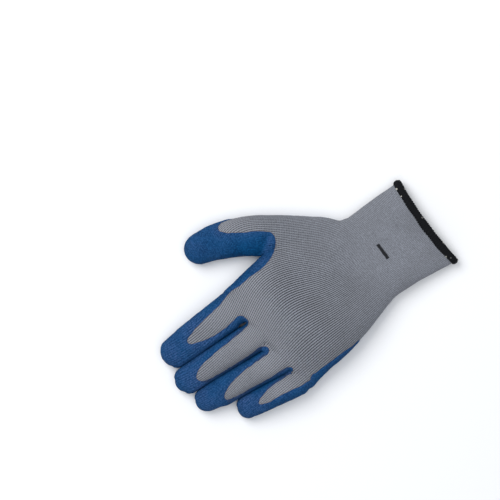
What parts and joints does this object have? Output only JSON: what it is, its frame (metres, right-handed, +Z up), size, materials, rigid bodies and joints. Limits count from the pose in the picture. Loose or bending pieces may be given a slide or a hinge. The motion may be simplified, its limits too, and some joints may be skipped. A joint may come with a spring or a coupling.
{
  "type": "latex coated grip glove",
  "caption": "Left-hand knitted work glove with a crinkled latex palm and fingertips, a bare knitted back, a long ribbed cuff and an overlocked hem, lying palm down.",
  "frame": {"origin": "middle of the glove's footprint, on the surface that it lies on", "axes": "+Y from the cuff to the fingertips, +X towards the thumb, +Z up out of the back of the hand"},
  "size_m": [0.1606, 0.249, 0.0303],
  "materials": {
    "knit": "cotton and polyester knit, mid grey, dull",
    "latex": "crinkled natural latex foam, deep blue, satin",
    "hem": "black overlock thread with light elastic"
  },
  "bodies": {
    "root": {"cuff_hem": "hem", "knit_cuff": "knit", "knit_palm": "knit", "knit_thumb": "knit", "knit_index_finger": "knit", "knit_middle_finger": "knit", "knit_ring_finger": "knit", "knit_little_finger": "knit", "latex_coating": "latex"}
  },
  "joints": []
}
